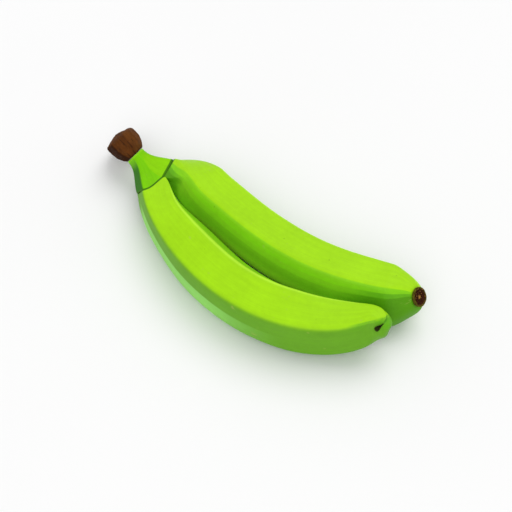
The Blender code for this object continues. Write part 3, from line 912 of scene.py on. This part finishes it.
def dried_end():
    """Joint + back * distance + sheared ring, with shrinkage furrows along it, painted light on its
    upper shoulder and painted shade on its underside.
    """
    path = np.linspace(0, 1, STUB_ROWS)
    angle = np.arange(STUB_COLUMNS) * 2 * math.pi / STUB_COLUMNS
    distance, radius, inwards = stub_profile(path[:, None], angle[None, :])
    back = -neck
    side, up = frame_of(back)
    outline, tone = whittled_outline(angle)
    outline = 1 + (outline - 1) * smooth_step(path, 0.0, 0.25)[:, None]
    furrows = ripples(angle[None, :], distance * 60, 34, 3, seed=11, waves=20)
    knots = ripples(angle[None, :], distance * 500, 7, 3, seed=12)
    size = radius * outline * (1 + 0.006 * furrows * inwards + 0.012 * knots * inwards)
    across = size[..., None] * (np.cos(angle)[:, None] * side + np.sin(angle)[:, None] * up)
    slid = sheared(across, back, cut_normal)
    rough = 0.0003 * (1 - inwards) * ripples(angle[None, :], radius * 900, 9, 3, seed=13)
    points = joint + (distance + SEAM_GAP / 2 + rough)[..., None] * back + slid
    # painted shade on the underside and painted light on the upper shoulder
    shaded_underside = smooth_step(np.cos(angle - math.radians(250)), -0.25, -0.12)
    lit_shoulder = smooth_step(np.cos(angle - math.radians(50)), 0.6, 0.75)
    colour = mixed(mixed(DRIED_DARK, DRIED, tone), DRIED_LIT, lit_shoulder)
    low = shaded_underside * smooth_step(path, 0.72, 0.60)[:, None]
    colour = mixed(np.broadcast_to(colour, points.shape), DRIED_SHADE_AND_JOINT, low)
    colour = mixed(colour, DRIED_SHADE_AND_JOINT, 0.8 * np.exp(-((distance / 0.0010) ** 2)))
    return grid_mesh("dried_stem_end", points, path * 3, colour, sharp=75)


stem_end = dried_end()

# %% [markdown]
# ## The dried blossom marks
#
# Each banana's flower grew at its far end. What is left is a dark, crumbly disc: a thin dry rim,
# a hollow, and the stump of the flower in its middle. A lathe profile would be too round, so the
# profile is carried round a grid and then crumbled with ripples. The front mark is squeezed into a
# narrow drop that points along the crease.

# %% Profile and outline of a mark
MARK_PATH = (0.0, 0.12, 0.24, 0.34, 0.50, 0.72, 0.88, 1.0)
MARK_RADIUS = (0.95, 1.00, 0.97, 0.88, 0.72, 0.42, 0.20, 0.004)
MARK_HEIGHT = (0.0, 0.55, 0.95, 1.0, 0.55, 0.40, 0.55, 0.80)
THINNEST = 0.12


def drop_outline(angle, narrow, lean):
    """With a the angle less the lean: (cos a, w sin a), where the width w is
    1 - (1 - narrow) * (1.3 + 0.9 cos a), and then turned back by the lean. Narrow 1 is a circle."""
    along, out = np.cos(angle - lean), np.sin(angle - lean)
    out = out * np.maximum(THINNEST, 1 - (1 - narrow) * (1.3 + 0.9 * along))
    along = along * (1 + 0.3 * (1 - narrow) * (1 + along))
    x = along * math.cos(lean) - out * math.sin(lean)
    y = along * math.sin(lean) + out * math.cos(lean)
    return x, y


print("the drop's blunt end is at", round(float(drop_outline(np.full(1, math.pi), 0.52, 0.0)[0][0]), 2))

# %% Make the blossom marks
MARK_ROWS, MARK_COLUMNS = 90, 160
MARK_RIM = paint(106, 100, 18)
MARK_DARK = paint(64, 25, 5)
MARK_OLIVE = paint(44, 52, 8)
MARK_OLIVE_RIM = MARK_OLIVE * 1.6
MARK_OCHRE = paint(176, 130, 60)


def blossom_mark(name, finger, line, depth, narrow, lean, seed):
    """Tip + radius(path) * drop outline + height(path) * ahead, crumbled by ripples. The path runs
    over the rim and inwards."""
    path = np.linspace(0, 1, MARK_ROWS)
    angle = np.arange(MARK_COLUMNS) * 2 * math.pi / MARK_COLUMNS
    radius = np.interp(path, MARK_PATH, MARK_RADIUS)[:, None] * finger["tip_radius"]
    height = np.interp(path, MARK_PATH, MARK_HEIGHT)[:, None] * depth
    inside = smooth_step(path, 0.2, 0.4)[:, None]
    crumbs = ripples(angle[None, :], radius * 2500, 11, 3, seed=seed, waves=24)
    off_centre = np.minimum(1, radius / (0.3 * finger["tip_radius"]))
    height = height + 0.22 * depth * crumbs * inside * off_centre
    radius = radius * (1 + 0.03 * ripples(angle[None, :], 0 * radius, 7, 1, seed=seed + 1))
    ring_x, ring_y = drop_outline(angle, narrow, lean)
    tip, direction, side, up = tip_frame(finger, line)
    across = radius[..., None] * (ring_x[:, None] * side + ring_y[:, None] * up)
    points = tip + tip_pull(finger, line) + across + (height + SEAM_GAP)[..., None] * direction
    rim = smooth_step(path, 0.50, 0.30)[:, None] * (0.7 + 0.3 * crumbs)
    dark, edge = (MARK_DARK, MARK_RIM) if finger is BACK else (MARK_OLIVE, MARK_OLIVE_RIM)
    colour = mixed(np.broadcast_to(dark, points.shape), edge, np.clip(rim, 0, 1))
    stump = smooth_step(path, 0.84, 0.95)[:, None] + smooth_step(crumbs, 1.1, 1.7) * 0.8 * inside
    colour = mixed(colour, MARK_OCHRE, np.clip(stump, 0, 1) * (finger is BACK))
    return grid_mesh(name, points, path, colour, sharp=80)


FRONT_MARK = dict(depth=0.0010, narrow=0.52, lean=CREASE_ANGLE, seed=21)
BACK_MARK = dict(depth=0.0016, narrow=1.0, lean=0.0, seed=22)
front_mark = blossom_mark("front_blossom_mark", FRONT, front_line, **FRONT_MARK)
back_mark = blossom_mark("back_blossom_mark", BACK, back_line, **BACK_MARK)

# %% [markdown]
# ## The finishes
#
# Every finish starts from the colour stored on the points and multiplies it by fine patterns, so
# the big colours stay where they grew. The grain patterns are noise read from the place in the
# grain, squeezed round the piece and stretched along it, which turns dots into fibres. The rest,
# such as mottling and specks, has no direction and reads plain Object coordinates.

# %% Node helpers


class Finish:
    """A material with one Principled shader, and short ways to add and join nodes."""

    def __init__(self, name, specular):
        self.material = bpy.data.materials.new(name)
        self.material.use_nodes = True
        self.tree = self.material.node_tree
        self.shader = self.tree.nodes["Principled BSDF"]
        self.feed(self.shader.inputs["Specular IOR Level"], specular)
        self.grown = self.attribute("grown_colour").outputs["Color"]
        self.grain_place = self.attribute("grain_place").outputs["Vector"]
        self.place = self.node("ShaderNodeTexCoord", {}).outputs["Object"]

    def feed(self, socket, value):
        if isinstance(value, bpy.types.NodeSocket):
            self.tree.links.new(value, socket)
        else:
            socket.default_value = value

    def node(self, kind, sockets, **settings):
        made = self.tree.nodes.new(kind)
        for name, value in settings.items():
            setattr(made, name, value)
        for name, value in sockets.items():
            self.feed(made.inputs[name], value)
        return made

    def attribute(self, name):
        return self.node("ShaderNodeAttribute", {}, attribute_name=name)

    def noise(self, place, scale, detail=3.0):
        sockets = {"Vector": place, "Scale": scale, "Detail": detail, "Roughness": 0.55}
        return self.node("ShaderNodeTexNoise", sockets).outputs["Fac"]

    def fibres(self, round_piece, along, detail=3.0):
        """Noise of the place in the grain, multiplied by (round, round, along)."""
        sockets = {0: self.grain_place, 1: (round_piece, round_piece, along)}
        stretched = self.node("ShaderNodeVectorMath", sockets, operation="MULTIPLY")
        return self.noise(stretched.outputs["Vector"], 1.0, detail)

    def spread(self, value, low, high, to_low, to_high, smooth=False):
        """value from low..high to to_low..to_high, kept inside it."""
        sockets = {"Value": value, "From Min": low, "From Max": high}
        sockets.update({"To Min": to_low, "To Max": to_high})
        kind = "SMOOTHSTEP" if smooth else "LINEAR"
        return self.node("ShaderNodeMapRange", sockets, interpolation_type=kind).outputs["Result"]

    def times(self, first, second):
        return self.node("ShaderNodeMath", {0: first, 1: second}, operation="MULTIPLY").outputs["Value"]

    def plus(self, first, second):
        return self.node("ShaderNodeMath", {0: first, 1: second}, operation="ADD").outputs["Value"]

    def scaled(self, colour, factor):
        made = self.node("ShaderNodeVectorMath", {0: colour}, operation="SCALE")
        self.feed(made.inputs["Scale"], factor)
        return made.outputs["Vector"]

    def blended(self, first, second, share):
        made = self.node("ShaderNodeMix", {}, data_type="RGBA")
        self.feed(made.inputs[0], share)
        self.feed(made.inputs[6], first)
        self.feed(made.inputs[7], second)
        return made.outputs[2]

    def raised(self, height, depth, below=None):
        """A bump of this depth in metres over another one."""
        sockets = {"Height": height, "Distance": depth, "Strength": 1.0}
        made = self.node("ShaderNodeBump", sockets)
        if below is not None:
            self.feed(made.inputs["Normal"], below)
        return made.outputs["Normal"]

    def finish(self, colour, roughness, normal):
        self.feed(self.shader.inputs["Base Color"], colour)
        self.feed(self.shader.inputs["Roughness"], roughness)
        self.feed(self.shader.inputs["Normal"], normal)
        print(self.material.name, "has", len(self.tree.nodes), "nodes")
        return self.material


def solid(red, green, blue):
    """A paint as the four numbers of a colour socket."""
    return (*paint(red, green, blue), 1.0)


helpers = [name for name in vars(Finish) if not name.startswith("_")]
print("a finish has the helpers", ", ".join(helpers))

# %% [markdown]
# ### Green skin
#
# An unripe skin is smooth and waxy. Close up it has faint fibres that run the whole length, soft
# cloudy mottling, a few pale scuffs where bananas rubbed together, and sparse dark pin-pricks. The
# wax is thinner along the fibres, so they show in the gloss as well as in the colour. The crown
# has the same finish with stronger fibres, so one function makes both.

# %% Green skin finish


def green_skin(name, fibre_strength, fibre_depth, specular):
    made = Finish(name, specular)
    coarse = made.fibres(7.0, 0.16, detail=4.0)
    fine = made.fibres(26.0, 0.5, detail=3.0)
    clouds = made.noise(made.place, 42.0, detail=3.0)
    mottle = made.noise(made.place, 330.0, detail=2.0)
    grain = made.times(
        made.spread(coarse, 0.3, 0.7, 1 - fibre_strength, 1 + fibre_strength),
        made.spread(fine, 0.3, 0.7, 1 - fibre_strength * 0.8, 1 + fibre_strength * 0.8),
    )
    shade = made.times(
        made.spread(clouds, 0.3, 0.7, 0.955, 1.045),
        made.spread(mottle, 0.3, 0.7, 0.975, 1.025),
    )
    colour = made.scaled(made.grown, made.times(grain, shade))
    scuffs = made.times(
        made.spread(made.noise(made.place, 95.0, detail=6.0), 0.635, 0.70, 0.0, 1.0, smooth=True),
        made.spread(made.fibres(12.0, 1.1, detail=5.0), 0.50, 0.62, 0.0, 0.55),
    )
    colour = made.blended(colour, solid(176, 190, 92), scuffs)
    pricks = made.node("ShaderNodeTexVoronoi", {"Vector": made.place, "Scale": 260.0}, feature="F1")
    chosen = made.node("ShaderNodeSeparateColor", {"Color": pricks.outputs["Color"]}).outputs["Red"]
    dots = made.times(
        made.spread(pricks.outputs["Distance"], 0.05, 0.17, 1.0, 0.0, smooth=True),
        made.spread(chosen, 0.93, 0.96, 0.0, 0.45),
    )
    colour = made.blended(colour, solid(70, 96, 20), dots)
    roughness = made.plus(made.spread(fine, 0.3, 0.7, 0.44, 0.56), made.times(scuffs, 0.16))
    normal = made.raised(coarse, fibre_depth)
    normal = made.raised(fine, fibre_depth * 0.5, normal)
    normal = made.raised(made.noise(made.place, 1500.0, detail=2.0), 0.00002, normal)
    return made.finish(colour, roughness, normal)


skin_finish = green_skin(
    "waxy_green_skin", fibre_strength=0.035, fibre_depth=0.00010, specular=0.12,
)
crown_finish = green_skin(
    "fibrous_green_crown", fibre_strength=0.060, fibre_depth=0.00022, specular=0.06,
)

# %% [markdown]
# ### Dried stem
#
# The dried end is bundles of fibre that shrank and split. Long streaks of light and dark brown
# run along it, narrow cracks are nearly black, and the rubbed ridges are paler. It has no wax,
# so it is much rougher than the skin.

# %% Dried stem finish


def dried_stem():
    made = Finish("woody_brown_stem", specular=0.06)
    streaks = made.fibres(9.0, 0.9, detail=6.0)
    threads = made.fibres(34.0, 2.2, detail=4.0)
    blotches = made.noise(made.place, 260.0, detail=4.0)
    tone = made.times(
        made.spread(streaks, 0.28, 0.72, 0.80, 1.22),
        made.spread(threads, 0.3, 0.7, 0.92, 1.08),
    )
    colour = made.scaled(made.grown, made.times(tone, made.spread(blotches, 0.3, 0.7, 0.88, 1.12)))
    rubbed = made.spread(made.noise(made.place, 700.0, detail=5.0), 0.58, 0.72, 0.0, 0.22)
    colour = made.blended(colour, solid(150, 100, 58), rubbed)
    cracks = made.spread(made.fibres(10.0, 1.0, detail=2.0), 0.33, 0.39, 0.65, 0.0, smooth=True)
    colour = made.blended(colour, solid(34, 18, 8), cracks)
    normal = made.raised(streaks, 0.0006)
    normal = made.raised(threads, 0.0002, normal)
    normal = made.raised(made.spread(cracks, 0.0, 0.75, 1.0, 0.0), 0.0004, normal)
    normal = made.raised(made.noise(made.place, 1800.0, detail=3.0), 0.00008, normal)
    return made.finish(colour, made.spread(streaks, 0.3, 0.7, 0.62, 0.85), normal)


stem_finish = dried_stem()

# %% [markdown]
# ### Dried blossom
#
# The blossom mark is almost charcoal: reddish black, matt, and broken into crumbs. Cells from a
# Voronoi texture make the crumbs, and noise breaks up their even spacing.

# %% Dried blossom finish


def dried_blossom():
    made = Finish("crumbly_dried_blossom", specular=0.15)
    crumbs = made.node("ShaderNodeTexVoronoi", {"Vector": made.place, "Scale": 1700.0}, feature="F1")
    dust = made.noise(made.place, 2600.0, detail=4.0)
    tone = made.spread(crumbs.outputs["Distance"], 0.0, 0.8, 1.35, 0.6)
    colour = made.scaled(made.grown, made.times(tone, made.spread(dust, 0.3, 0.7, 0.7, 1.3)))
    flecks = made.spread(made.noise(made.place, 1300.0, detail=5.0), 0.62, 0.70, 0.0, 0.6)
    colour = made.blended(colour, solid(150, 112, 58), flecks)
    normal = made.raised(made.spread(crumbs.outputs["Distance"], 0.0, 0.8, 1.0, 0.0), 0.0003)
    normal = made.raised(dust, 0.0001, normal)
    return made.finish(colour, made.spread(dust, 0.3, 0.7, 0.75, 0.95), normal)


blossom_finish = dried_blossom()

# %% [markdown]
# ## Putting the pieces on the frame
#
# Each surface stands for one solid of the frame and rides on the bunch's only body.

# %% Finishes and bodies
PIECES = (
    (front_skin, skin_finish, "front_banana", "green_skin"),
    (back_skin, skin_finish, "back_banana", "green_skin"),
    (crown_skin, crown_finish, "crown", "crown_skin"),
    (stem_end, stem_finish, "cut_stub", "dried_stem"),
    (front_mark, blossom_finish, "front_blossom_scar", "dried_blossom"),
    (back_mark, blossom_finish, "back_blossom_scar", "dried_blossom"),
)
for piece, material, solid_name, slot in PIECES:
    piece.data.materials.append(material)
    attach(piece, "root")
    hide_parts(solid_name)
print(len(PIECES), "pieces ride on the bunch")

# %% [markdown]
# ## Table, light and camera
#
# The bunch is seen on a pale, almost shadowless table. A soft sun behind it makes the upper sides
# bright, a second one in front reaches into the gap between the bananas, and an even white world
# fills the rest.

# %% Floor
FLOOR_SIZE = 4.0


def pale_floor():
    """A square z = 0 from -size / 2 to size / 2."""
    half = FLOOR_SIZE / 2
    corners = [(-half, -half, 0), (half, -half, 0), (half, half, 0), (-half, half, 0)]
    mesh = bpy.data.meshes.new("pale_table")
    mesh.from_pydata(corners, [], [(0, 1, 2, 3)])
    floor = bpy.data.objects.new("pale_table", mesh)
    bpy.context.scene.collection.objects.link(floor)
    made = Finish("pale_table", specular=0.3)
    tone = made.spread(made.noise(made.place, 3.0, detail=2.0), 0.3, 0.7, 0.985, 1.0)
    colour = made.scaled((0.92, 0.92, 0.92), tone)
    normal = made.raised(made.noise(made.place, 900.0, detail=2.0), 0.00001)
    mesh.materials.append(made.finish(colour, 0.6, normal))
    return floor


pale_floor()

# %% [markdown]
# A sun lamp has no place, only a direction, so its angle alone says how soft its shadows are. The
# directions below are as the camera sees them and are turned into the frame.

# %% Light
KEY_FROM, KEY_STRENGTH = (0.30, 0.40, 0.87), 1.0  # right, away and up, as the camera sees it
FILL_FROM, FILL_STRENGTH = (-0.15, -0.72, 0.68), 0.9
SOFTNESS, WORLD_STRENGTH = 50, 0.60


def turned(vector, degrees):
    """The vector turned about Z."""
    c, s = math.cos(math.radians(degrees)), math.sin(math.radians(degrees))
    return Vector((vector[0] * c - vector[1] * s, vector[0] * s + vector[1] * c, vector[2]))


def soft_sun(name, towards, strength):
    sun = bpy.data.objects.new(name, bpy.data.lights.new(name, "SUN"))
    sun.data.energy = strength
    sun.data.angle = math.radians(SOFTNESS)
    sun.rotation_euler = turned(towards, VIEW_TURN).to_track_quat("Z", "Y").to_euler()
    bpy.context.scene.collection.objects.link(sun)


soft_sun("key_light", KEY_FROM, KEY_STRENGTH)
soft_sun("fill_light", FILL_FROM, FILL_STRENGTH)
world = bpy.data.worlds.new("even_white")
world.use_nodes = True
world.node_tree.nodes["Background"].inputs["Color"].default_value = (1, 1, 1, 1)
world.node_tree.nodes["Background"].inputs["Strength"].default_value = WORLD_STRENGTH
bpy.context.scene.world = world
bpy.context.scene.view_settings.view_transform = "Standard"
print("two suns of", KEY_STRENGTH, "and", FILL_STRENGTH, "and an even white world")

# %% [markdown]
# The camera looks down on the bunch with a long lens, which keeps the two bananas in proportion.
# Its place is worked out from the point it looks at, the distance and the angle.

# %% Camera
AIM_FROM_JOINT, AIM_HEIGHT = (0.1121, -0.0293), 0.018
CAMERA_AIM = Vector((joint[0] + AIM_FROM_JOINT[0], joint[1] + AIM_FROM_JOINT[1], AIM_HEIGHT))
CAMERA_DISTANCE, CAMERA_ELEVATION = 0.725, math.radians(50)
level, upward = math.cos(CAMERA_ELEVATION), math.sin(CAMERA_ELEVATION)
toward_camera = turned((0, -level, upward), VIEW_TURN)
camera = bpy.data.objects.new("camera", bpy.data.cameras.new("camera"))
camera.data.lens = 85
camera.data.sensor_width = 36
camera.location = CAMERA_AIM + toward_camera * CAMERA_DISTANCE
camera.rotation_euler = toward_camera.to_track_quat("Z", "Y").to_euler()
bpy.context.scene.collection.objects.link(camera)
bpy.context.scene.camera = camera
print("camera at", [round(value, 3) for value in camera.location])

# %% [markdown]
# ## The size of it all
#
# The visible pieces have to fill the frame's box closely.
